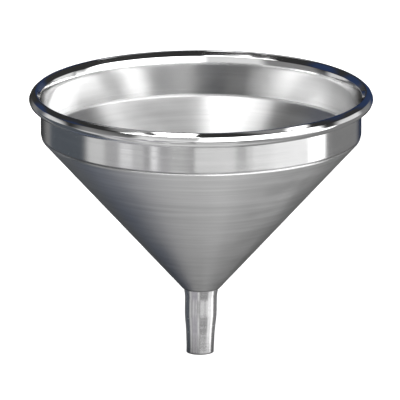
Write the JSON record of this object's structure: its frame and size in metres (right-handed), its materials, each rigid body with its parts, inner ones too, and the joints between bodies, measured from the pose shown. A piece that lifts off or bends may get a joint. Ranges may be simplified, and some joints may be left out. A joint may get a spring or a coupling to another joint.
{
  "type": "kitchen filling funnel",
  "caption": "Round sheet-aluminium filling funnel: wide mouth with a rolled, wire-stiffened rim, upright collar, straight cone and narrow tapered spout.",
  "frame": {"origin": "centre of the spout's outlet face, on the funnel's axis", "axes": "+Z along the funnel's axis from the outlet up to the mouth; the part is round, so +X and +Y may point anywhere across it"},
  "size_m": [0.1708, 0.1708, 0.1334],
  "materials": {
    "collar_bright": "bright turned sheet with fine rings round the axis",
    "wire_plain": "plain drawn wire",
    "cone_satin": "satin spun sheet with fine rings round the axis",
    "spout_bright": "bright drawn tube"
  },
  "bodies": {
    "root": {"collar": "collar_bright", "rim_wire": "wire_plain", "cone": "cone_satin", "spout": "spout_bright"}
  },
  "joints": []
}
